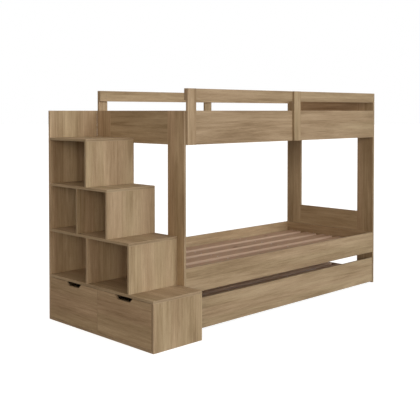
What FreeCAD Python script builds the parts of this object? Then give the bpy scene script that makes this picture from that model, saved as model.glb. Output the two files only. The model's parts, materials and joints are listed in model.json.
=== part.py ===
import FreeCAD, Part
import math
import os

# Triple bunk bed: an upper bunk, a lower bunk, a trundle bed that rolls out from underneath,
# and storage stairs with two drawers at the left end.
# X runs along the bed away from the stairs, Y from the front to the wall, Z up, in millimetres.
# While it is drawn, X = 0 is the outer face of the stair-end panel, Y = 0 the bed's front
# and Z = 0 the floor. The finished pieces are moved so that the origin is the middle of the footprint.

# Boards
board = 15.0                  # laminated board of every panel, rail and post
strip_width = 68.0            # guard rails, guard posts and slat bearers
stile_width = 140.0           # uprights of the two end panels

# Mattress, which sets the length and depth of the bed
mattress_length = 1880.0
mattress_width = 780.0
mattress_end_play = 2.0       # at each end
mattress_side_play = 8.0      # at each side

# Heights of the bunks
side_top = 1290.0             # top of the upper side boards and of the stair-end panel
side_board_height = 198.0
guard_gap = 60.0              # open slot between side board and guard rail
middle_post_offset = 977.0    # stair end to the middle guard posts
lower_rail_bottom = 231.0
lower_rail_height = 148.0
cross_rail_rise = 147.0       # how far the rail behind each end board stands above the lower bunk

# Slats, which run along the bed on cross bearers
slat_width = 105.0
slat_thickness = 15.0
slat_count = 5
slat_edge_gap = 33.5          # from the outer slats to the boards beside them
slat_round = 3.0              # rounded long edges on top
slat_end_play = 1.0
bearer_count = 4

# Stairs
stair_width = 358.0
stair_reach = 148.0           # how far the stairs stand out in front of the bed
first_going = 206.0
going = 197.0
step_count = 4
top_step_drop = 166.0         # from the top of the side boards down to the highest tread
divided_steps = (2, 3)        # steps whose shelf space has an upright in the middle

# Drawers in the lowest step
drawer_gap = 2.0              # round the drawer fronts
drawer_side_thickness = 12.0
drawer_side_height = 150.0
drawer_side_lift = 25.0       # above the base board
drawer_rear_gap = 18.0
drawer_floor_thickness = 6.0
drawer_floor_lift = 12.0      # above the bottom edge of the drawer sides
groove_depth = 5.0
groove_play = 0.3
notch_width = 160.0           # finger notch in the top edge of each drawer front
notch_floor_width = 112.0
notch_depth = 24.0
notch_corner_round = 12.0
notch_lip_round = 4.0

# Drawer runners: a sheet channel on the carcass, a sliding bar on the drawer
runner_space = 12.5           # between drawer side and carcass
track_depth = 11.0
track_height = 20.0
track_sheet = 1.5
track_lift = 40.0             # above the bottom edge of the drawer sides
slide_play = 0.3
slide_web_gap = 0.5

# Trundle bed
trundle_end_gap = 6.0         # to the end panels
trundle_rear_gap = 14.0       # to the plane of the rear rail
trundle_floor_gap = 10.0
trundle_front_height = 179.0
trundle_bearer_width = 44.0
trundle_bearer_height = 43.0

# Casters of the trundle
wheel_radius = 20.0
wheel_width = 18.0
wheel_tread_chamfer = 2.5
wheel_top_gap = 2.0
fork_play = 1.0               # each side of the wheel
bracket_sheet = 2.0
bracket_bend = 3.5            # outer radius of the folded edges
bracket_length = 62.0
fork_top_length = 36.0
fork_lug_radius = 9.0
axle_radius = 4.0
axle_play = 0.05
rivet_radius = 6.5
rivet_height = 2.0
caster_edge_distance = 85.0   # from the trundle's front and rear to the axles

# One overrun for every cut
overrun = 5.0

# Places worked out from the sizes
bed_length = mattress_length + 2 * mattress_end_play + 4 * board
bed_depth = mattress_width + 2 * mattress_side_play + 2 * board
between_ends = (board, bed_length - board)
lower_box_x = (2 * board, bed_length - 2 * board)
front_plane = (0.0, board)
rear_plane = (bed_depth - board, bed_depth)
between_rails = (board, bed_depth - board)
side_board_z = (side_top - side_board_height, side_top)
guard_top = side_top + guard_gap + strip_width
guard_rail_z = (side_top + guard_gap, guard_top)
guard_post_z = (side_board_z[0], guard_top)
lower_rail_z = (lower_rail_bottom, lower_rail_bottom + lower_rail_height)
cross_rail_z = (lower_rail_z[0], lower_rail_z[1] + cross_rail_rise)

rise = (side_top - top_step_drop) / step_count
stair_x = (-stair_width, 0.0)
stair_front = -stair_reach
stair_rear = bed_depth + board
stair_inside_rear = stair_rear - board
stair_inside_x = (-stair_width, -board)

footprint_centre = FreeCAD.Vector(
    (stair_x[0] + bed_length) / 2,
    (stair_front + stair_rear) / 2,
    0,
)


# Basic shapes

def slab(x, y, z):
    """A flat board or bar between the low and high values on each axis."""
    corner = FreeCAD.Vector(x[0], y[0], z[0])
    return Part.makeBox(x[1] - x[0], y[1] - y[0], z[1] - z[0], corner)


def rounded_face(corners, rounds):
    """A flat face through the corners, each rounded to its own radius (0 keeps it sharp)."""
    edges = []
    ends = []
    for i, corner in enumerate(corners):
        before = (corners[i - 1] - corner).normalize()
        after = (corners[(i + 1) % len(corners)] - corner).normalize()
        if not rounds[i]:
            ends.append((corner, corner))
            continue
        half_angle = before.getAngle(after) / 2
        reach = rounds[i] / math.tan(half_angle)
        start = corner + before * reach
        end = corner + after * reach
        inward = (before + after).normalize()
        middle = corner + inward * (rounds[i] / math.sin(half_angle) - rounds[i])
        edges.append(Part.Arc(start, middle, end).toShape())
        ends.append((start, end))
    for i in range(len(corners)):
        leave = ends[i][1]
        arrive = ends[(i + 1) % len(corners)][0]
        if leave.distanceToPoint(arrive) > 0:
            edges.append(Part.LineSegment(leave, arrive).toShape())
    return Part.Face(Part.Wire(Part.__sortEdges__(edges)))


def side_profile(points, rounds, x):
    """A prism along X whose outline is given as (y, z) points."""
    corners = [FreeCAD.Vector(x[0], py, pz) for py, pz in points]
    return rounded_face(corners, rounds).extrude(FreeCAD.Vector(x[1] - x[0], 0, 0))


def front_profile(points, rounds, y):
    """A prism along Y whose outline is given as (x, z) points."""
    corners = [FreeCAD.Vector(px, y[0], pz) for px, pz in points]
    return rounded_face(corners, rounds).extrude(FreeCAD.Vector(0, y[1] - y[0], 0))


def cylinder_x(radius, x, y, z):
    """A cylinder along X between two x values."""
    start = FreeCAD.Vector(x[0], y, z)
    return Part.makeCylinder(radius, x[1] - x[0], start, FreeCAD.Vector(1, 0, 0))


def evenly(low, high, count):
    """Evenly spaced values from low to high, both included."""
    step = (high - low) / (count - 1)
    return [low + step * i for i in range(count)]


def write(node, *solids):
    """Move the pieces to the footprint's centre and write them as one node."""
    shape = solids[0] if len(solids) == 1 else Part.makeCompound(list(solids))
    shape.translate(-footprint_centre)
    shape.exportStep("parts/" + node + ".step")


# End panels: two uprights, a top rail and a cross rail in one plane

def end_panel(name, x, top):
    front_stile = (0.0, stile_width)
    rear_stile = (bed_depth - stile_width, bed_depth)
    between_stiles = (front_stile[1], rear_stile[0])
    write(name + "_front_stile", slab(x, front_stile, (0.0, top)))
    write(name + "_rear_stile", slab(x, rear_stile, (0.0, top)))
    write(name + "_top_rail", slab(x, between_stiles, (side_board_z[0], top)))
    write(name + "_cross_rail", slab(x, between_stiles, cross_rail_z))


# Upper bunk: side boards, guard rails in the same plane, guard posts on the outside

def guard_post(x_low, y):
    return slab((x_low, x_low + strip_width), y, guard_post_z)


def upper_bunk():
    for side, plane in (("front", front_plane), ("rear", rear_plane)):
        write("upper_" + side + "_board", slab(between_ends, plane, side_board_z))
        write("guard_" + side + "_rail", slab(between_ends, plane, guard_rail_z))
    outside_front = (-board, 0.0)
    outside_rear = (bed_depth, bed_depth + board)
    post_places = (between_ends[0], middle_post_offset)
    write("guard_front_posts", *[guard_post(x, outside_front) for x in post_places])
    write("guard_rear_posts", *[guard_post(x, outside_rear) for x in post_places])


# Lower bunk: a box of two rails and two end boards inside the end panels

def lower_bunk():
    write("lower_front_rail", slab(between_ends, front_plane, lower_rail_z))
    write("lower_rear_rail", slab(between_ends, rear_plane, lower_rail_z))
    stair_end_board = slab((board, 2 * board), between_rails, lower_rail_z)
    far_end_board = slab((bed_length - 2 * board, bed_length - board), between_rails, lower_rail_z)
    write("lower_end_boards", stair_end_board, far_end_board)


# Slats and the bearers that carry them

def slats(x, y, z_low):
    """Slats along X with rounded upper edges, spread evenly over the y range."""
    long_x = (x[0] + slat_end_play, x[1] - slat_end_play)
    first = y[0] + slat_edge_gap
    last = y[1] - slat_edge_gap - slat_width
    z_high = z_low + slat_thickness
    pieces = []
    for near in evenly(first, last, slat_count):
        far = near + slat_width
        outline = [(near, z_low), (far, z_low), (far, z_high), (near, z_high)]
        pieces.append(side_profile(outline, [0, 0, slat_round, slat_round], long_x))
    return pieces


def bearers(x, z_low):
    """Boards on edge across the bed, the outer two against the ends."""
    pieces = []
    for low in evenly(x[0], x[1] - board, bearer_count):
        pieces.append(slab((low, low + board), between_rails, (z_low, z_low + strip_width)))
    return pieces


def bunk_decks():
    for name, x, z_low in (
        ("upper", between_ends, side_board_z[0]),
        ("lower", lower_box_x, lower_rail_z[0]),
    ):
        write(name + "_bearers", *bearers(x, z_low))
        write(name + "_slats", *slats(x, between_rails, z_low + strip_width))


# Stairs: treads that run back to the rear panel as shelves, risers under their front edges

def riser_front(step):
    if step == 1:
        return stair_front
    return stair_front + first_going + going * (step - 2)


def tread_top(step):
    return rise * step


def tread_under(step):
    return tread_top(step) - board


def shelf_depth(step):
    """The y range behind a riser and in front of the rear panel."""
    return (riser_front(step) + board, stair_inside_rear)


def shelf_height(step):
    """The z range between the tread or base below and the tread above."""
    low = board if step == 1 else tread_top(step - 1)
    return (low, tread_under(step))


def stairs():
    write("stair_base", slab(stair_x, shelf_depth(1), (0.0, board)))
    write("stair_rear_panel", slab(stair_x, (stair_inside_rear, stair_rear), (0.0, side_top)))
    for step in range(1, step_count + 1):
        number = str(step)
        front = riser_front(step)
        foot = tread_top(step - 1)
        write("stair_riser_" + number, slab(stair_x, (front, front + board), (foot, tread_under(step))))
        tread_y = (front, stair_inside_rear)
        write("stair_tread_" + number, slab(stair_x, tread_y, (tread_under(step), tread_top(step))))
        write("stair_side_panel_" + number, slab((-board, 0.0), shelf_depth(step), shelf_height(step)))
    for step in divided_steps:
        depth = shelf_depth(step)
        low = (depth[0] + depth[1] - board) / 2
        write("stair_divider_" + str(step), slab(stair_inside_x, (low, low + board), shelf_height(step)))


# Drawers: inset fronts over a partition, boxes on side runners

drawer_split = sum(shelf_depth(1)) / 2
partition_y = (drawer_split - board / 2, drawer_split + board / 2)
drawer_openings = (
    (shelf_depth(1)[0], partition_y[0]),
    (partition_y[1], shelf_depth(1)[1]),
)
front_faces = (
    (shelf_depth(1)[0] + drawer_gap, drawer_split - drawer_gap / 2),
    (drawer_split + drawer_gap / 2, shelf_depth(1)[1] - drawer_gap),
)
front_z = (shelf_height(1)[0] + drawer_gap, shelf_height(1)[1] - drawer_gap)
front_x = (-stair_width, -stair_width + board)
drawer_box_x = (front_x[1], -board - drawer_rear_gap)
drawer_side_low = shelf_height(1)[0] + drawer_side_lift
drawer_side_z = (drawer_side_low, drawer_side_low + drawer_side_height)
drawer_floor_low = drawer_side_low + drawer_floor_lift
groove_z = (drawer_floor_low, drawer_floor_low + drawer_floor_thickness + groove_play)
track_z = (drawer_side_low + track_lift, drawer_side_low + track_lift + track_height)
track_x = (front_x[1] + drawer_gap, -board - drawer_rear_gap)


def drawer_front(face):
    """A front whose top edge dips in a finger notch with rounded corners."""
    middle = (face[0] + face[1]) / 2
    top = front_z[1]
    dip = top - notch_depth
    outline = [
        (face[0], front_z[0]),
        (face[1], front_z[0]),
        (face[1], top),
        (middle + notch_width / 2, top),
        (middle + notch_floor_width / 2, dip),
        (middle - notch_floor_width / 2, dip),
        (middle - notch_width / 2, top),
        (face[0], top),
    ]
    rounds = [0, 0, 0, notch_lip_round, notch_corner_round, notch_corner_round, notch_lip_round, 0]
    return side_profile(outline, rounds, front_x)


def drawer(number, opening, face):
    name = "drawer_" + str(number) + "_"
    outside_y = (opening[0] + runner_space, opening[1] - runner_space)
    inside_y = (outside_y[0] + drawer_side_thickness, outside_y[1] - drawer_side_thickness)
    inside_rear = drawer_box_x[1] - drawer_side_thickness
    grooved_y = (inside_y[0] - groove_depth, inside_y[1] + groove_depth)
    grooved_x = (drawer_box_x[0] - groove_depth, inside_rear + groove_depth)
    groove = slab(grooved_x, grooved_y, groove_z)
    floor_x = (grooved_x[0] + groove_play, grooved_x[1] - groove_play)
    floor_y = (grooved_y[0] + groove_play, grooved_y[1] - groove_play)
    floor_z = (drawer_floor_low, drawer_floor_low + drawer_floor_thickness)
    near_side = slab(drawer_box_x, (outside_y[0], inside_y[0]), drawer_side_z)
    far_side = slab(drawer_box_x, (inside_y[1], outside_y[1]), drawer_side_z)
    back = slab((inside_rear, drawer_box_x[1]), inside_y, drawer_side_z)
    bar_z = (track_z[0] + track_sheet + slide_play, track_z[1] - track_sheet - slide_play)
    web_gap = track_sheet + slide_web_gap
    near_bar = slab(drawer_box_x, (opening[0] + web_gap, outside_y[0]), bar_z)
    far_bar = slab(drawer_box_x, (outside_y[1], opening[1] - web_gap), bar_z)
    write(name + "front", drawer_front(face).cut(groove))
    write(name + "sides", near_side.cut(groove), far_side.cut(groove))
    write(name + "back", back.cut(groove))
    write(name + "bottom", slab(floor_x, floor_y, floor_z))
    write(name + "runners", near_bar, far_bar)


def track(wall, towards):
    """A channel on the wall at y, its flanges pointing along towards (+1 or -1)."""
    web = wall + towards * track_sheet
    lip = wall + towards * track_depth
    outline = [
        (wall, track_z[0]),
        (lip, track_z[0]),
        (lip, track_z[0] + track_sheet),
        (web, track_z[0] + track_sheet),
        (web, track_z[1] - track_sheet),
        (lip, track_z[1] - track_sheet),
        (lip, track_z[1]),
        (wall, track_z[1]),
    ]
    return side_profile(outline, [0] * len(outline), track_x)


def drawers():
    partition_x = (front_x[1] + drawer_gap, -board)
    write("drawer_partition", slab(partition_x, partition_y, shelf_height(1)))
    tracks = []
    for number, (opening, face) in enumerate(zip(drawer_openings, front_faces), start=1):
        drawer(number, opening, face)
        tracks.append(track(opening[0], 1))
        tracks.append(track(opening[1], -1))
    write("drawer_tracks", *tracks)


# Trundle bed: a tall front, a low frame, slats flush with its ends, and casters

caster_height = 2 * wheel_radius + wheel_top_gap + bracket_sheet
trundle_x = (between_ends[0] + trundle_end_gap, between_ends[1] - trundle_end_gap)
trundle_inside_x = (trundle_x[0] + board, trundle_x[1] - board)
trundle_rear = bed_depth - trundle_rear_gap
trundle_inside_y = (board, trundle_rear - board)
trundle_deck = caster_height + trundle_bearer_height
trundle_frame_z = (caster_height, trundle_deck + slat_thickness)
trundle_bearer_z = (caster_height, trundle_deck)
trundle_bearer_places = evenly(
    trundle_inside_x[0], trundle_inside_x[1] - trundle_bearer_width, bearer_count
)


def trundle():
    front_height = (trundle_floor_gap, trundle_floor_gap + trundle_front_height)
    write("trundle_front", slab(trundle_x, (0.0, board), front_height))
    write("trundle_rear_board", slab(trundle_x, (trundle_rear - board, trundle_rear), trundle_frame_z))
    stair_end = slab((trundle_x[0], trundle_inside_x[0]), trundle_inside_y, trundle_frame_z)
    far_end = slab((trundle_inside_x[1], trundle_x[1]), trundle_inside_y, trundle_frame_z)
    write("trundle_end_boards", stair_end, far_end)
    bars = []
    for low in trundle_bearer_places:
        bars.append(slab((low, low + trundle_bearer_width), trundle_inside_y, trundle_bearer_z))
    write("trundle_bearers", *bars)
    write("trundle_slats", *slats(trundle_inside_x, trundle_inside_y, trundle_deck))


# Casters: a folded fork, a riveted axle and a solid wheel

caster_x = (
    trundle_bearer_places[0] + trundle_bearer_width / 2,
    trundle_bearer_places[-1] + trundle_bearer_width / 2,
)
caster_y = (caster_edge_distance, trundle_rear - caster_edge_distance)
fork_half_inside = wheel_width / 2 + fork_play
fork_half_outside = fork_half_inside + bracket_sheet


def caster_bracket(x, y):
    """A sheet folded down on both sides, cut to a tapered fork, with holes for the axle."""
    foot = wheel_radius - fork_lug_radius
    web_low = caster_height - bracket_sheet
    section = [
        (x - fork_half_outside, foot),
        (x - fork_half_inside, foot),
        (x - fork_half_inside, web_low),
        (x + fork_half_inside, web_low),
        (x + fork_half_inside, foot),
        (x + fork_half_outside, foot),
        (x + fork_half_outside, caster_height),
        (x - fork_half_outside, caster_height),
    ]
    inner_bend = bracket_bend - bracket_sheet
    section_rounds = [0, 0, inner_bend, inner_bend, 0, 0, bracket_bend, bracket_bend]
    half_length = bracket_length / 2
    folded = front_profile(section, section_rounds, (y - half_length, y + half_length))
    shoulder = caster_height - bracket_bend
    outline = [
        (y - half_length, caster_height),
        (y - half_length, shoulder),
        (y - fork_top_length / 2, shoulder),
        (y - fork_lug_radius, foot),
        (y + fork_lug_radius, foot),
        (y + fork_top_length / 2, shoulder),
        (y + half_length, shoulder),
        (y + half_length, caster_height),
    ]
    lug_round = fork_lug_radius - bracket_sheet
    outline_rounds = [0, 0, 0, lug_round, lug_round, 0, 0, 0]
    wide = (x - fork_half_outside - overrun, x + fork_half_outside + overrun)
    fork = folded.common(side_profile(outline, outline_rounds, wide))
    return fork.cut(cylinder_x(axle_radius + axle_play, wide, y, wheel_radius))


def caster_axle(x, y):
    """A pin through the fork with a rivet head on each side."""
    left = x - fork_half_outside
    right = x + fork_half_outside
    pin = cylinder_x(axle_radius, (left, right), y, wheel_radius)
    left_head = cylinder_x(rivet_radius, (left - rivet_height, left), y, wheel_radius)
    right_head = cylinder_x(rivet_radius, (right, right + rivet_height), y, wheel_radius)
    return pin.fuse([left_head, right_head])


def caster_wheel(x, y):
    """A turned wheel with a bore and a chamfered tread."""
    bore = axle_radius + axle_play
    half_width = wheel_width / 2
    half_outline = [
        (half_width, bore),
        (half_width, wheel_radius - wheel_tread_chamfer),
        (half_width - wheel_tread_chamfer, wheel_radius),
    ]
    mirrored = [(-across, radius) for across, radius in reversed(half_outline)]
    outline = half_outline + mirrored
    corners = [FreeCAD.Vector(x + across, y, wheel_radius + radius) for across, radius in outline]
    section = rounded_face(corners, [0] * len(corners))
    return section.revolve(FreeCAD.Vector(x, y, wheel_radius), FreeCAD.Vector(1, 0, 0), 360)


def casters():
    places = [(x, y) for x in caster_x for y in caster_y]
    write("caster_brackets", *[caster_bracket(x, y) for x, y in places])
    write("caster_axles", *[caster_axle(x, y) for x, y in places])
    for number, (x, y) in enumerate(places, start=1):
        write("caster_wheel_" + str(number), caster_wheel(x, y))


def build():
    os.makedirs("parts", exist_ok=True)
    end_panel("stair_end", (0.0, board), side_top)
    end_panel("far_end", (bed_length - board, bed_length), guard_top)
    upper_bunk()
    lower_bunk()
    bunk_decks()
    stairs()
    drawers()
    trundle()
    casters()


build()
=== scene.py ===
"""Looks of the triple bunk bed: oak boards, pine slats, zinc and nylon fittings, studio and camera."""
import json
import math

import bmesh
import bpy
from mathutils import Matrix, Vector


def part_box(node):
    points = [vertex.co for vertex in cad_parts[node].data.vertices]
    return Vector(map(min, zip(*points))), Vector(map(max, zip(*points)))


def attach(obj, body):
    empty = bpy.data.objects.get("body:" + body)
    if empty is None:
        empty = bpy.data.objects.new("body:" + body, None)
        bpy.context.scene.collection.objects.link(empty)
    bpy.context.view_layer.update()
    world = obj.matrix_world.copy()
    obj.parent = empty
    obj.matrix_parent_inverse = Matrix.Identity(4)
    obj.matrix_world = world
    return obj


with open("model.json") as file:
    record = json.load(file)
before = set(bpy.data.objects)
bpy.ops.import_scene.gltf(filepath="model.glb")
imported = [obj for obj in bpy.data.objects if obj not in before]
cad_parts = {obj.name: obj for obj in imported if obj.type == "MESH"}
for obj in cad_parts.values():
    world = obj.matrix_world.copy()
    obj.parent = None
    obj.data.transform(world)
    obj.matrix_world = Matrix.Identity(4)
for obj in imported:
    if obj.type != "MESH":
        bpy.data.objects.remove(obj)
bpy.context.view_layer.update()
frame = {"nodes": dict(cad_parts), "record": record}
nodes = frame["nodes"]

# Directions

axis_names = "XYZ"
up = (0, 0, 1)
down = (0, 0, -1)
to_room = (0, -1, 0)
to_wall = (0, 1, 0)
room_side = 0                  # the end of a box that lies towards the room
wall_side = 1

# Rounded edges, with lengths in metres

edge_round = 0.0009            # eased edges of boards
slat_edge_round = 0.0016
fitting_edge_round = 0.00025   # edges of hardboard, sheet metal and turned fittings
round_segments = 2
sharp_angle = math.radians(30)   # edges that bend more than this are eased
weld_distance = 0.00001

# Screws and covers, with lengths in metres

round_sides = 24               # sides of a round head or cap
screw_head_radius = 0.0038
screw_head_height = 0.0011
screw_recess_depth = 0.0008
screw_outline_shares = ((1, 0), (1, 0.3), (0.9, 0.7), (0.72, 1))   # of the head's radius and height
recess_mouth_shares = (0.58, 0.13)   # reach and half width of the cross, of the head's radius
recess_floor_shares = (0.40, 0.09)
slat_screw_spread = 0.031      # from the middle of a slat to its screws
caster_screw_radius = 0.0031
caster_screw_inset = 0.0065    # from the end of the bracket to its screws
bracket_sheet = 0.002          # thickness of the caster brackets

cap_radius = 0.0085            # covers over the connecting fittings
cap_height = 0.0011
cap_outline_shares = ((1, 0), (1, 0.5), (0.96, 0.9), (0.88, 1), (0.78, 0.92), (0.3, 0.72))
cap_edge_inset = 0.045         # from the long edges of a board
cap_end_inset = 0.050          # from the ends of a board
post_cover_radius = 0.0058     # covers over the screws of the guard posts
post_cover_drops = (0.030, 0.080)   # below the top edge of a side board
post_cover_spread = 0.018      # to either side of a post's middle, on a guard rail
step_count = 4

# Camera, fitted to the photograph

camera_place = (-3.7869, -3.5737, 1.2872)
camera_heading = math.radians(44.7876)   # from +Y towards +X
camera_pitch = math.radians(1.5)         # below level
camera_lens = 66.018                     # millimetres
camera_sensor = 36.0
camera_shift = -0.1875

# Studio

black = (0, 0, 0)
white = (1, 1, 1)
warm_white = (1.0, 0.90, 0.82)
cool_white = (0.82, 0.92, 1.0)
plain_white = (1.0, 0.97, 0.93)
floor_reach = 60.0
floor_dark = (0.40, 0.40, 0.40)
floor_light = (0.42, 0.42, 0.42)
floor_cloud_noise = (1.5, 3)   # scale and detail, as for every noise below; a third value is the roughness
floor_roughness = 0.75
floor_cloud_roughness = 0.1
floor_specular = 0.1
floor_glow = 0.84              # light table under the sheet, seen by the camera only
floor_shade_blur = 0.10        # how softly that glow ends under the trundle
rear_shade_reach = 0.06        # how far the shade reaches past the trundle's rear
end_shade_reach = 0.22         # how far it reaches past the far end
end_shade_blur = 0.14
background_glow = 1.0          # what the camera sees behind the bed
sky_zenith = 0.63
sky_horizon = 0.23
key_strength = 1.76
key_direction = (0.15, -0.93, 0.33)      # from the bed towards the light
key_softness = math.radians(34)
fill_strength = 1.58
fill_direction = (-0.66, -0.74, 0.09)
fill_softness = math.radians(34)
rear_strength = 1.2
rear_direction = (0.12, 0.98, 0.05)
end_strength = 1.2
end_direction = (0.98, 0.12, 0.05)
low_light_softness = math.radians(20)    # of the lights behind the bed and past its far end


# Node trees

half = 0.5                     # the middle of a noise and of a ramp
plain_roughness = 0.5          # of a noise that gives none of its own
facing_share = 0.5             # how far a normal reaches along an axis, on faces that look along it


class Socket:
    """A shader socket. Arithmetic on it adds Math nodes to its own node tree."""

    def __init__(self, finish, link):
        self.finish = finish
        self.link = link

    def maths(self, operation, *values):
        return self.finish.add("ShaderNodeMath", {"operation": operation}, dict(enumerate(values)))

    def __add__(self, other):
        return self.maths("ADD", self, other)

    def __radd__(self, other):
        return self.maths("ADD", other, self)

    def __sub__(self, other):
        return self.maths("SUBTRACT", self, other)

    def __rsub__(self, other):
        return self.maths("SUBTRACT", other, self)

    def __mul__(self, other):
        return self.maths("MULTIPLY", self, other)

    def __rmul__(self, other):
        return self.maths("MULTIPLY", other, self)

    def __gt__(self, other):
        return self.maths("GREATER_THAN", self, other)

    def __abs__(self):
        return self.maths("ABSOLUTE", self)

    def root(self):
        return self.maths("SQRT", self)

    def folded(self, reach):
        """Up and down again between 0 and the reach."""
        return self.maths("PINGPONG", self, reach)


class Finish:
    """A material or world that is put together from nodes."""

    def __init__(self, owner):
        owner.use_nodes = True
        self.owner = owner
        self.tree = owner.node_tree
        self.tree.nodes.clear()

    def add(self, kind, settings=None, sockets=None, output=0):
        """Add a node: its settings, then the values or links of its sockets. Gives one output, if any."""
        node = self.tree.nodes.new(kind)
        for name, value in (settings or {}).items():
            if name == "stops":
                self.set_stops(node.color_ramp, value)
            else:
                setattr(node, name, value)
        for key, value in (sockets or {}).items():
            if isinstance(value, Socket):
                self.tree.links.new(value.link, node.inputs[key])
            else:
                node.inputs[key].default_value = value
        return Socket(self, node.outputs[output]) if node.outputs else None

    @staticmethod
    def set_stops(ramp, stops):
        while len(ramp.elements) < len(stops):
            ramp.elements.new(half)
        for element, (position, colour) in zip(ramp.elements, stops):
            element.position = position
            element.color = (*colour, 1)

    def noise(self, vector, scale, detail, roughness=plain_roughness, output=0):
        settings = {"noise_dimensions": "3D"}
        sockets = {"Vector": vector, "Scale": scale, "Detail": detail, "Roughness": roughness}
        return self.add("ShaderNodeTexNoise", settings, sockets, output)

    def vector(self, operation, first, second):
        return self.add("ShaderNodeVectorMath", {"operation": operation}, {0: first, 1: second})

    def scaled(self, vector, factor):
        return self.add("ShaderNodeVectorMath", {"operation": "SCALE"}, {0: vector, "Scale": factor})

    def dot(self, first, second):
        return self.add("ShaderNodeVectorMath", {"operation": "DOT_PRODUCT"}, {0: first, 1: second}, "Value")

    def between(self, value, low, high):
        """0 below low, 1 above high, smooth between."""
        settings = {"interpolation_type": "SMOOTHSTEP"}
        return self.add("ShaderNodeMapRange", settings, {"Value": value, "From Min": low, "From Max": high})

    def ramp(self, value, stops):
        return self.add("ShaderNodeValToRGB", {"stops": stops}, {0: value})

    def mix_colours(self, factor, first, second, how="MIX"):
        settings = {"data_type": "RGBA", "blend_type": how}
        return self.add("ShaderNodeMix", settings, {0: factor, 6: paint(first), 7: paint(second)}, 2)

    def mix_vectors(self, factor, first, second):
        return self.add("ShaderNodeMix", {"data_type": "VECTOR"}, {0: factor, 4: first, 5: second}, 1)

    def bump(self, height, strength, distance):
        return self.add("ShaderNodeBump", {}, {"Height": height, "Strength": strength, "Distance": distance})

    def place(self):
        """Coordinates in the piece's own frame."""
        return self.add("ShaderNodeTexCoord", output="Object")

    def faces_along(self, *axes):
        """1 on the faces that look along any of these axes, either way."""
        facing = self.add("ShaderNodeTexCoord", output="Normal")
        return sum(abs(self.dot(facing, unit(axis))) for axis in axes) > facing_share

    def surface(self, sockets):
        """Finish a material with these values on its shader."""
        shader = self.add("ShaderNodeBsdfPrincipled", {}, sockets)
        self.add("ShaderNodeOutputMaterial", {}, {"Surface": shader})
        return self.owner


def paint(colour):
    """A plain colour with its alpha, or a link left as it is."""
    return colour if isinstance(colour, Socket) else (*colour, 1)


def unit(axis):
    return [1.0 if name == axis else 0.0 for name in axis_names]


def new_finish(name):
    return Finish(bpy.data.materials.new(name))


# Wood grain

sheet_spread = (31.0, 17.0, 23.0)   # how far apart the boards lie in the sheets they are cut from
fibre_squeeze_share = 0.042    # what is left of a length along the grain, which draws the pattern out
sway_noise = (3.2, 2)
fibre_sway = 0.03
patch_squeeze_share = 0.16     # the same for broad patches
patch_noise = (11.0, 2)
leaf_width = 0.19              # veneer leaf, mirrored where it meets the next
heart_share = 0.45             # where the heart of the log lies across a leaf
heart_depth = 0.004            # least depth of the heart below the face
heart_dip = 0.045              # how much deeper it gets
heart_slope_share = 0.045      # how fast it gets deeper along the board
ring_noise = (75.0, 3, 0.6)
ring_drift_share = 0.03        # how fast the rings change along the board
ring_spread = 9                # how far apart the boards lie in the pattern of rings


def grain_pattern(finish, grain, end_strip):
    """Coordinates along the fibres, and the tones of broad patches and of the rings that the face cuts.

    On the ends of a board they follow the strip that covers the end.
    """
    chance = finish.add("ShaderNodeObjectInfo", output="Random")
    place = finish.vector("ADD", finish.place(), finish.scaled(sheet_spread, chance))
    run = finish.mix_vectors(finish.faces_along(grain), unit(grain), unit(end_strip))
    cross = finish.vector("SUBTRACT", (1.0, 1.0, 1.0), run)

    def squeezed(share):
        return finish.vector("MULTIPLY", place, finish.vector("ADD", cross, finish.scaled(run, share)))

    patches = finish.noise(squeezed(patch_squeeze_share), *patch_noise)
    fibres = squeezed(fibre_squeeze_share)
    sway = finish.noise(fibres, *sway_noise, output="Color")
    sway = finish.vector("SUBTRACT", sway, (half, half, half))
    fibres = finish.vector("ADD", fibres, finish.scaled(sway, fibre_sway))
    along = finish.dot(place, run)
    from_heart = finish.dot(fibres, cross).folded(leaf_width) - leaf_width * heart_share
    depth = heart_depth + (along * heart_slope_share).folded(heart_dip)
    radius = (from_heart * from_heart + depth * depth).root()
    drift = along * ring_drift_share
    cut = finish.add("ShaderNodeCombineXYZ", {}, {"X": radius, "Y": drift, "Z": chance * ring_spread})
    rings = finish.noise(cut, *ring_noise)
    return fibres, {"patches": patches, "rings": rings}


def blended_tone(patterns, shares):
    """The middle tone, moved up and down by each pattern to its share."""
    tone = half
    for name, share in shares.items():
        tone = tone + (patterns[name] - half) * share
    return tone


def shaded_stops(positions, shades, tone_and_painted_light_share):
    """Ramp stops of the shades, all made darker or lighter alike."""
    stops = []
    for position, shade in zip(positions, shades):
        stops.append((position, [part * tone_and_painted_light_share for part in shade]))
    return stops


def sheet_name(kind, grain, end_strip, tone_and_painted_light_share):
    """A name that tells the sheets of one kind apart, with the share of tone and painted light and shade in
    percent.
    """
    return kind + "_" + grain + end_strip + str(round(tone_and_painted_light_share * 100))


# Oak decor of the boards

oak_dark = (0.245, 0.164, 0.087)
oak_middle = (0.352, 0.250, 0.144)
oak_light = (0.455, 0.335, 0.206)
oak_stop_shares = (0.2, 0.5, 0.8)
oak_pore = (0.160, 0.100, 0.055)
olive_tint = (0.986, 1.0, 0.980)
rosy_tint = (1.014, 0.991, 1.0)
strip_tint = (0.87, 0.89, 0.91)     # strips glued on the narrow sides of a board
oak_streak_noise = (75.0, 5, 0.62)
oak_hair_noise = (430.0, 2)
oak_pore_noise = (1300.0, 1)
oak_pore_range = (0.60, 0.72)
oak_flush_noise = (7.0, 2)
oak_flush_range = (0.38, 0.62)
oak_tone_shares = {"patches": 0.9, "rings": 0.7, "streaks": 0.7, "hairs": 0.5}
oak_pore_share = 0.4
oak_hair_relief_share = 0.4
oak_roughness = 0.50
oak_streak_roughness = 0.16
oak_pore_roughness = 0.10
oak_specular = 0.22
oak_bump = (0.30, 0.0004)      # strength and distance, as for every bump below
edge_rub_noise = (38.0, 3, 0.6)
edge_roughness = 0.36
edge_rub_roughness = 0.16
edge_specular = 0.4


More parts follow.
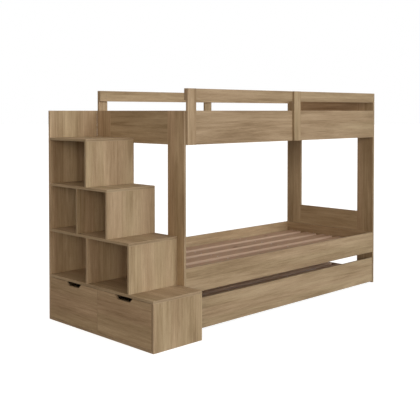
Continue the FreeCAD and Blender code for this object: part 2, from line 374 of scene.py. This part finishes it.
def oak_laminate(grain, end_strip, tone_and_painted_light_share):
    """Light oak decor with arched growth rings, streaks, hair lines and open pores along the grain."""
    finish = new_finish(sheet_name("oak_laminate", grain, end_strip, tone_and_painted_light_share))
    fibres, patterns = grain_pattern(finish, grain, end_strip)
    streaks = finish.noise(fibres, *oak_streak_noise)
    hairs = finish.noise(fibres, *oak_hair_noise)
    pores = finish.between(finish.noise(fibres, *oak_pore_noise), *oak_pore_range)
    flush = finish.between(finish.noise(fibres, *oak_flush_noise), *oak_flush_range)
    patterns.update(streaks=streaks, hairs=hairs)
    tone = blended_tone(patterns, oak_tone_shares)
    # The whole ramp is made darker or lighter by the board's share, partly its own tone and partly painted
    # light and shade
    colour = finish.ramp(tone, shaded_stops(oak_stop_shares, (oak_dark, oak_middle, oak_light), tone_and_painted_light_share))
    colour = finish.mix_colours(1.0, colour, finish.mix_colours(flush, olive_tint, rosy_tint), "MULTIPLY")
    on_strip = finish.faces_along(grain, end_strip)
    colour = finish.mix_colours(on_strip, colour, strip_tint, "MULTIPLY")
    colour = finish.mix_colours(pores * oak_pore_share, colour, oak_pore)
    return finish.surface({
        "Base Color": colour,
        "Roughness": oak_roughness + (streaks - half) * oak_streak_roughness + pores * oak_pore_roughness,
        "Specular IOR Level": oak_specular,
        "Normal": finish.bump(hairs * oak_hair_relief_share - pores, *oak_bump),
    })


def oak_edge():
    """Rounded edge strip: the same decor, rubbed a little lighter and smoother."""
    finish = new_finish("oak_edge")
    rubbed = finish.noise(finish.place(), *edge_rub_noise)
    return finish.surface({
        "Base Color": finish.mix_colours(rubbed, oak_middle, oak_light),
        "Roughness": edge_roughness + rubbed * edge_rub_roughness,
        "Specular IOR Level": edge_specular,
    })


# Pine of the slats

pine_dark = (0.340, 0.210, 0.133)
pine_middle = (0.450, 0.294, 0.195)
pine_light = (0.550, 0.386, 0.267)
pine_stop_shares = (0.25, 0.5, 0.75)
# paler colour of the slat sides: partly sawn wood, partly a painted highlight
pine_sawn_highlight = (0.680, 0.500, 0.370)
pine_knot = (0.160, 0.075, 0.040)
pine_streak_noise = (46.0, 3, 0.55)
pine_hair_noise = (520.0, 2)
pine_tone_shares = {"patches": 0.2, "streaks": 0.3, "rings": 0.4, "hairs": 0.25}
pine_sawn_highlight_share = 0.45
knot_squeeze_share = 0.55      # the same for the cells that may hold a knot
knot_scale = 7.0
knot_draw = 0.72               # cells that draw more than this hold a knot
knot_range = (0.05, 0.11)      # where a knot starts to fade, and its rim
knot_share = 0.8
pine_roughness = 0.66
pine_streak_roughness = 0.2
pine_specular = 0.12
pine_ring_relief_share = 0.5
pine_bump = (0.25, 0.0004)


def pine_knots(finish, grain):
    """1 in the knots, which sit in a few cells of the board."""
    squeeze = [knot_squeeze_share if name == grain else 1.0 for name in axis_names]
    cells = {"Vector": finish.vector("MULTIPLY", finish.place(), squeeze), "Scale": knot_scale}
    nearness = finish.add("ShaderNodeTexVoronoi", {}, cells, "Distance")
    lottery = finish.add("ShaderNodeTexVoronoi", {}, cells, "Color")
    drawn = finish.add("ShaderNodeSeparateColor", {}, {0: lottery}, 0) > knot_draw
    return drawn * (1 - finish.between(nearness, *knot_range))


def pine(grain, end_strip, tone_and_painted_light_share):
    """Planed pine with growth lines, a few knots and paler sides, partly the sawn wood's own colour and
    partly a painted highlight for the light the sides catch.
    """
    finish = new_finish(sheet_name("pine", grain, end_strip, tone_and_painted_light_share))
    fibres, patterns = grain_pattern(finish, grain, end_strip)
    streaks = finish.noise(fibres, *pine_streak_noise)
    hairs = finish.noise(fibres, *pine_hair_noise)
    patterns.update(streaks=streaks, hairs=hairs)
    tone = blended_tone(patterns, pine_tone_shares)
    shades = (pine_dark, pine_middle, pine_light)
    # The whole ramp is made darker or lighter by the slats' share, partly their own tone and partly painted
    # shade
    colour = finish.ramp(tone, shaded_stops(pine_stop_shares, shades, tone_and_painted_light_share))
    # The sides are painted paler, partly as sawn wood and partly as a painted highlight
    sawn_and_highlight_sides = finish.faces_along("Y" if grain == "X" else "X")
    colour = finish.mix_colours(sawn_and_highlight_sides * pine_sawn_highlight_share, colour, pine_sawn_highlight)
    colour = finish.mix_colours(pine_knots(finish, grain) * knot_share, colour, pine_knot)
    return finish.surface({
        "Base Color": colour,
        "Roughness": pine_roughness + (streaks - half) * pine_streak_roughness,
        "Specular IOR Level": pine_specular,
        "Normal": finish.bump(hairs + patterns["rings"] * pine_ring_relief_share, *pine_bump),
    })


# Hardboard of the drawer bottoms

hardboard_dark = (0.30, 0.20, 0.12)
hardboard_light = (0.38, 0.27, 0.17)
hardboard_fibre = (0.16, 0.10, 0.06)
hardboard_cloud_noise = (24.0, 3)
hardboard_fibre_noise = (900.0, 2)
hardboard_fibre_range = (0.55, 0.7)
hardboard_fibre_share = 0.3
hardboard_roughness = 0.42
hardboard_cloud_roughness = 0.2
hardboard_bump = (0.2, 0.0003)


def hardboard():
    """Pressed fibre sheet."""
    finish = new_finish("hardboard")
    place = finish.place()
    clouds = finish.noise(place, *hardboard_cloud_noise)
    fibres = finish.noise(place, *hardboard_fibre_noise)
    dark_fibres = finish.between(fibres, *hardboard_fibre_range) * hardboard_fibre_share
    colour = finish.mix_colours(clouds, hardboard_dark, hardboard_light)
    return finish.surface({
        "Base Color": finish.mix_colours(dark_fibres, colour, hardboard_fibre),
        "Roughness": hardboard_roughness + clouds * hardboard_cloud_roughness,
        "Normal": finish.bump(fibres, *hardboard_bump),
    })


# Zinc-plated steel of runners, casters and screws

zinc_cool = (0.55, 0.56, 0.58)
zinc_warm = (0.68, 0.68, 0.66)
zinc_crystal_scale = 260.0
zinc_scratch_scales = (40.0, 900.0, 900.0)
zinc_scratch_noise = (1.0, 3)
zinc_roughness = 0.28
zinc_crystal_roughness = 0.12
zinc_scratch_roughness = 0.12
zinc_bump = (0.08, 0.0002)


def zinc_steel():
    """Zinc-plated steel with faint crystal patches and fine scratches."""
    finish = new_finish("zinc_steel")
    place = finish.place()
    patches = finish.add("ShaderNodeTexVoronoi", {}, {"Vector": place, "Scale": zinc_crystal_scale}, "Color")
    crystals = finish.add("ShaderNodeSeparateColor", {}, {0: patches}, 0)
    scratches = finish.noise(finish.vector("MULTIPLY", place, zinc_scratch_scales), *zinc_scratch_noise)
    roughness = zinc_roughness + crystals * zinc_crystal_roughness + scratches * zinc_scratch_roughness
    return finish.surface({
        "Base Color": finish.mix_colours(crystals, zinc_cool, zinc_warm),
        "Metallic": 1.0,
        "Roughness": roughness,
        "Normal": finish.bump(scratches, *zinc_bump),
    })


# Nylon of the wheels

nylon_black = (0.020, 0.020, 0.021)
nylon_dusty = (0.085, 0.082, 0.078)
nylon_grain_noise = (1500.0, 2)
nylon_dust_noise = (60.0, 4, 0.6)
nylon_dust_range = (0.45, 0.75)
nylon_dust_share = 0.5
nylon_roughness = 0.42
nylon_dust_roughness = 0.2
nylon_bump = (0.12, 0.0002)


def nylon():
    """Matte black moulded nylon, greyed here and there by dust."""
    finish = new_finish("nylon")
    place = finish.place()
    grain = finish.noise(place, *nylon_grain_noise)
    dust = finish.between(finish.noise(place, *nylon_dust_noise), *nylon_dust_range)
    return finish.surface({
        "Base Color": finish.mix_colours(dust * nylon_dust_share, nylon_black, nylon_dusty),
        "Roughness": nylon_roughness + dust * nylon_dust_roughness,
        "Normal": finish.bump(grain, *nylon_bump),
    })


# Plastic of the covers

cap_dark = (0.31, 0.22, 0.135)
cap_light = (0.37, 0.27, 0.165)
cap_cloud_noise = (12.0, 2)
cap_speck_noise = (1100.0, 2)
cap_roughness = 0.40
cap_speck_roughness = 0.12
cap_bump = (0.15, 0.0002)


def cap_plastic():
    """Beige plastic, matched to the boards."""
    finish = new_finish("cap_plastic")
    place = finish.place()
    specks = finish.noise(place, *cap_speck_noise)
    clouds = finish.noise(place, *cap_cloud_noise)
    return finish.surface({
        "Base Color": finish.mix_colours(clouds, cap_dark, cap_light),
        "Roughness": cap_roughness + specks * cap_speck_roughness,
        "Normal": finish.bump(specks, *cap_bump),
    })


# Which way each board's decor runs

upright_words = ("stile", "posts", "riser", "rear_panel", "divider", "side_panel")
cross_words = ("top_rail", "cross_rail", "end_boards", "bearers", "drawer_1_front", "drawer_2_front",
               "drawer_1_back", "drawer_2_back", "tread", "stair_base")
thin_along_x_words = ("stile", "side_panel")
lying_words = ("tread", "stair_base")

# Boards and slats made darker or lighter than the rest, partly for their own tone and partly as painted
# light and shade: the lower rear rail is painted lighter inside the bed, and the trundle slats are painted
# darker in the shade under it

tone_and_painted_light_shares = {
    "lower_front_rail": 0.92,
    "trundle_front": 0.90,
    "upper_front_board": 0.92,
    "guard_front_rail": 0.95,
    "lower_rear_rail": 1.14,
    "stair_end_top_rail": 0.95,
    "stair_rear_panel": 1.03,
    "stair_riser_3": 0.94,
    "stair_end_front_stile": 1.05,
    "far_end_front_stile": 0.94,
    "far_end_rear_stile": 0.93,
    "far_end_cross_rail": 0.95,
    "trundle_slats": 0.87,
}


def decor_direction(name):
    """The grain axis of a board, and the axis along which the strips on its ends run."""
    if any(word in name for word in upright_words):
        thin_along_x = any(word in name for word in thin_along_x_words)
        return "Z", "Y" if thin_along_x else "X"
    if any(word in name for word in cross_words):
        lying = any(word in name for word in lying_words)
        return "Y", "X" if lying else "Z"
    return "X", "Z"


# Finishes and rounded edges of the solids

edge_strip_slot = 1            # the second finish of a board


def ease_edges(piece, width, edge_slot=None):
    """Join the faces of a solid and round its sharp edges, with their own finish if one is given."""
    joined = piece.modifiers.new("joined_faces", "WELD")
    joined.merge_threshold = weld_distance
    eased = piece.modifiers.new("eased_edges", "BEVEL")
    eased.width = width
    eased.segments = round_segments
    eased.limit_method = "ANGLE"
    eased.angle_limit = sharp_angle
    if edge_slot is not None:
        eased.material = edge_slot


def dress_solids():
    """Give every solid its finish and its rounded edges. Returns the finishes of the fittings."""
    slot_of = {row["node"]: row["material_slot"] for row in frame["record"]["subparts"]}
    wood = {"oak_laminate": oak_laminate, "pine": pine}
    fittings = {"hardboard": hardboard(), "zinc_steel": zinc_steel(), "nylon": nylon()}
    edge = oak_edge()
    made = {}
    for name, piece in nodes.items():
        slot = slot_of[name]
        if slot in wood:
            # Each share of tone and painted light and shade gets its own copy of the finish
            key = (slot, *decor_direction(name), tone_and_painted_light_shares.get(name, 1.0))
            if key not in made:
                made[key] = wood[slot](*key[1:])
            piece.data.materials[0] = made[key]
        else:
            piece.data.materials[0] = fittings[slot]
        if slot == "oak_laminate":
            piece.data.materials.append(edge)
            ease_edges(piece, edge_round, edge_strip_slot)
        elif slot == "pine":
            ease_edges(piece, slat_edge_round)
        else:
            ease_edges(piece, fitting_edge_round)
    return fittings


# Screws and covers

def turned(mesh, outline_shares, radius, height):
    """Rings about Z at shares of a radius and a height, with faces between them. Returns the rings."""
    rings = []
    for radius_share, height_share in outline_shares:
        ring = []
        for side in range(round_sides):
            turn = math.tau * side / round_sides
            x = radius * radius_share * math.cos(turn)
            y = radius * radius_share * math.sin(turn)
            ring.append(mesh.verts.new((x, y, height * height_share)))
        rings.append(ring)
    for low, high in zip(rings, rings[1:]):
        for side in range(round_sides):
            after = (side + 1) % round_sides
            mesh.faces.new((low[side], low[after], high[after], high[side]))
    return rings


def cross_loop(mesh, reach, half_width, height):
    """The twelve corners of a cross."""
    corners = []
    for quarter in range(4):
        turn = Matrix.Rotation(math.tau * quarter / 4, 3, "Z")
        for x, y in ((reach, -half_width), (reach, half_width), (half_width, half_width)):
            corners.append(mesh.verts.new(turn @ Vector((x, y, height))))
    return corners


def screw_head(radius):
    """A low domed head with a cross recess, standing on Z = 0."""
    mesh = bmesh.new()
    rings = turned(mesh, screw_outline_shares, radius, screw_head_height)
    mesh.faces.new(reversed(rings[0]))
    mouth_sizes = [radius * share for share in recess_mouth_shares]
    floor_sizes = [radius * share for share in recess_floor_shares]
    mouth = cross_loop(mesh, *mouth_sizes, screw_head_height)
    floor = cross_loop(mesh, *floor_sizes, screw_head_height - screw_recess_depth)
    rim = [mesh.edges.get((rings[-1][i], rings[-1][i - 1])) for i in range(round_sides)]
    lip = [mesh.edges.new((mouth[i], mouth[i - 1])) for i in range(len(mouth))]
    bmesh.ops.triangle_fill(mesh, edges=rim + lip, use_beauty=True, normal=up)
    for i in range(len(mouth)):
        mesh.faces.new((mouth[i - 1], mouth[i], floor[i], floor[i - 1]))
    mesh.faces.new(floor)
    return mesh


def cover_cap(radius):
    """A thin round cover with a rounded rim and a shallow dish, standing on Z = 0."""
    mesh = bmesh.new()
    rings = turned(mesh, cap_outline_shares, radius, cap_height)
    mesh.faces.new(reversed(rings[0]))
    mesh.faces.new(rings[-1])
    return mesh


def set_out(name, pattern, places, facing, body, finish):
    """One piece made of copies of the pattern, each turned to face one way."""
    turn = Vector(up).rotation_difference(Vector(facing)).to_matrix().to_4x4()
    bmesh.ops.recalc_face_normals(pattern, faces=pattern.faces)
    single = bpy.data.meshes.new(name + "_one")
    pattern.to_mesh(single)
    pattern.free()
    whole = bmesh.new()
    for place in places:
        before = len(whole.verts)
        whole.from_mesh(single)
        whole.verts.ensure_lookup_table()
        bmesh.ops.transform(whole, matrix=Matrix.Translation(place) @ turn, verts=whole.verts[before:])
    mesh = bpy.data.meshes.new(name)
    whole.to_mesh(mesh)
    whole.free()
    bpy.data.meshes.remove(single)
    mesh.materials.append(finish)
    piece = bpy.data.objects.new(name, mesh)
    bpy.context.scene.collection.objects.link(piece)
    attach(piece, body)


def solid_boxes(node):
    """The box of each separate solid of a node, from its joined vertices."""
    mesh = bmesh.new()
    mesh.from_mesh(nodes[node].data)
    bmesh.ops.remove_doubles(mesh, verts=mesh.verts, dist=weld_distance)
    left = set(mesh.verts)
    boxes = []
    while left:
        found = {left.pop()}
        waiting = list(found)
        while waiting:
            vert = waiting.pop()
            for link in vert.link_edges:
                other = link.other_vert(vert)
                if other in left:
                    left.remove(other)
                    found.add(other)
                    waiting.append(other)
        low = Vector([min(v.co[i] for v in found) for i in range(3)])
        high = Vector([max(v.co[i] for v in found) for i in range(3)])
        boxes.append((low, high))
    mesh.free()
    return sorted(boxes, key=lambda box: tuple(box[0]))


def slat_screws(steel):
    """Two screws where each slat crosses a bearer."""
    for deck, body in (("upper", "frame"), ("lower", "frame"), ("trundle", "trundle")):
        places = []
        for slat_low, slat_high in solid_boxes(deck + "_slats"):
            middle_y = (slat_low.y + slat_high.y) / 2
            for bearer_low, bearer_high in solid_boxes(deck + "_bearers"):
                middle_x = (bearer_low.x + bearer_high.x) / 2
                for side in (-slat_screw_spread, slat_screw_spread):
                    places.append(Vector((middle_x, middle_y + side, slat_high.z)))
        head = screw_head(screw_head_radius)
        set_out(deck + "_slat_screws", head, places, up, body, steel)


def caster_screws(steel):
    """A screw at each end of every bracket, heads down."""
    places = []
    bearer_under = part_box("trundle_bearers")[0].z
    for low, high in solid_boxes("caster_brackets"):
        middle_x = (low.x + high.x) / 2
        for y in (low.y + caster_screw_inset, high.y - caster_screw_inset):
            places.append(Vector((middle_x, y, bearer_under - bracket_sheet)))
    head = screw_head(caster_screw_radius)
    set_out("caster_screws", head, places, down, "trundle", steel)


def board_ends(name, side):
    """Two places at each end of a board, on its face towards the room or the wall."""
    low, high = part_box(name)
    face_y = (low.y, high.y)[side]
    places = []
    for x in (low.x + cap_end_inset, high.x - cap_end_inset):
        for z in (low.z + cap_edge_inset, high.z - cap_edge_inset):
            places.append(Vector((x, face_y, z)))
    return places


def rail_covers(plastic):
    """Covers over the fittings at the ends of three boards, on the faces towards the wall."""
    places = []
    for name in ("upper_front_board", "lower_front_rail", "lower_rear_rail"):
        places.extend(board_ends(name, wall_side))
    set_out("rail_covers", cover_cap(cap_radius), places, to_wall, "frame", plastic)


def rear_board_covers(plastic):
    """The same on the upper rear board, inside the bunk."""
    places = board_ends("upper_rear_board", room_side)
    cap = cover_cap(cap_radius)
    set_out("rear_board_covers", cap, places, to_room, "frame", plastic)


def tread_covers(plastic):
    """Four covers under each tread."""
    places = []
    for step in range(1, step_count + 1):
        low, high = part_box("stair_tread_" + str(step))
        for x in (low.x + cap_edge_inset, high.x - cap_edge_inset - cap_end_inset):
            for y in (low.y + cap_end_inset + cap_edge_inset, high.y - cap_end_inset):
                places.append(Vector((x, y, low.z)))
    set_out("tread_covers", cover_cap(cap_radius), places, down, "frame", plastic)


def post_covers(plastic):
    """Small covers over the screws that hold the guard posts, on the inner faces of boards and rails."""
    for side, face, facing in (("front", wall_side, to_wall), ("rear", room_side, to_room)):
        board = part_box("upper_" + side + "_board")
        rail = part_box("guard_" + side + "_rail")
        rail_middle_z = (rail[0].z + rail[1].z) / 2
        places = []
        for low, high in solid_boxes("guard_" + side + "_posts"):
            middle_x = (low.x + high.x) / 2
            for drop in post_cover_drops:
                places.append(Vector((middle_x, board[face].y, board[1].z - drop)))
            for spread in (-post_cover_spread, post_cover_spread):
                places.append(Vector((middle_x + spread, rail[face].y, rail_middle_z)))
        cap = cover_cap(post_cover_radius)
        set_out(side + "_post_covers", cap, places, facing, "frame", plastic)


# Studio

def under_bed(finish, place):
    """1 on the floor under the trundle, 0 around it, with a soft shadow past the far end."""
    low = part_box("trundle_slats")[0]
    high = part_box("trundle_rear_board")[1]
    inside = 1
    for axis, start, end, end_blur in (
        ("X", low.x, high.x + end_shade_reach, end_shade_blur),
        ("Y", low.y, high.y + rear_shade_reach, floor_shade_blur),
    ):
        along = finish.dot(place, unit(axis))
        inside = inside * finish.between(along, start, start + floor_shade_blur)
        inside = inside * (1 - finish.between(along, end - end_blur, end))
    return inside


def floor_finish():
    """A pale sheet that glows for the camera, except under the trundle."""
    finish = new_finish("floor_sheet")
    place = finish.place()
    clouds = finish.noise(place, *floor_cloud_noise)
    seen = finish.add("ShaderNodeLightPath", output="Is Camera Ray")
    glow = seen * (1 - under_bed(finish, place))
    return finish.surface({
        "Base Color": finish.mix_colours(clouds, floor_dark, floor_light),
        "Roughness": floor_roughness + clouds * floor_cloud_roughness,
        "Specular IOR Level": floor_specular,
        "Emission Color": finish.mix_colours(glow, black, white),
        "Emission Strength": floor_glow,
    })


def floor_sheet():
    """One wide square at Z = 0."""
    mesh = bmesh.new()
    corners = [(-1, -1), (1, -1), (1, 1), (-1, 1)]
    mesh.faces.new([mesh.verts.new((x * floor_reach, y * floor_reach, 0)) for x, y in corners])
    data = bpy.data.meshes.new("floor")
    mesh.to_mesh(data)
    mesh.free()
    data.materials.append(floor_finish())
    floor = bpy.data.objects.new("floor", data)
    bpy.context.scene.collection.objects.link(floor)


def sky():
    """A white background, and a softer dome that lights the bed from above."""
    world = bpy.data.worlds.new("studio")
    bpy.context.scene.world = world
    finish = Finish(world)
    direction = finish.add("ShaderNodeTexCoord", output="Generated")
    height = finish.add("ShaderNodeSeparateXYZ", {}, {0: direction}, 2)
    lift = finish.between(height, 0.0, 1.0)
    dome = sky_horizon + lift * (sky_zenith - sky_horizon)
    seen = finish.add("ShaderNodeLightPath", output="Is Camera Ray")
    strength = dome + seen * (background_glow - dome)
    tint = finish.mix_colours(seen, warm_white, white)
    glow = finish.add("ShaderNodeBackground", {}, {"Color": tint, "Strength": strength})
    finish.add("ShaderNodeOutputWorld", {}, {"Surface": glow})


def soft_light(name, strength, direction, softness, colour):
    """A distant light with soft shadows. The direction points from the bed to the light."""
    data = bpy.data.lights.new(name, "SUN")
    data.energy = strength
    data.angle = softness
    data.color = colour
    light = bpy.data.objects.new(name, data)
    light.rotation_euler = Vector(direction).to_track_quat("Z", "Y").to_euler()
    bpy.context.scene.collection.objects.link(light)


def camera():
    """The photograph's view, pitched down a little."""
    data = bpy.data.cameras.new("camera")
    data.lens = camera_lens
    data.sensor_width = camera_sensor
    data.shift_y = camera_shift
    eye = bpy.data.objects.new("camera", data)
    eye.location = camera_place
    eye.rotation_euler = (math.pi / 2 - camera_pitch, 0, -camera_heading)
    bpy.context.scene.collection.objects.link(eye)
    bpy.context.scene.camera = eye


def colour_management():
    """Colours are shown as they are, without a film look."""
    settings = bpy.context.scene.view_settings
    settings.view_transform = "Standard"
    settings.look = "None"


fittings = dress_solids()
slat_screws(fittings["zinc_steel"])
caster_screws(fittings["zinc_steel"])
beige_plastic = cap_plastic()
rail_covers(beige_plastic)
rear_board_covers(beige_plastic)
tread_covers(beige_plastic)
post_covers(beige_plastic)
floor_sheet()
sky()
soft_light("key", key_strength, key_direction, key_softness, cool_white)
soft_light("fill", fill_strength, fill_direction, fill_softness, warm_white)
soft_light("rear", rear_strength, rear_direction, low_light_softness, plain_white)
soft_light("end", end_strength, end_direction, low_light_softness, plain_white)
camera()
colour_management()
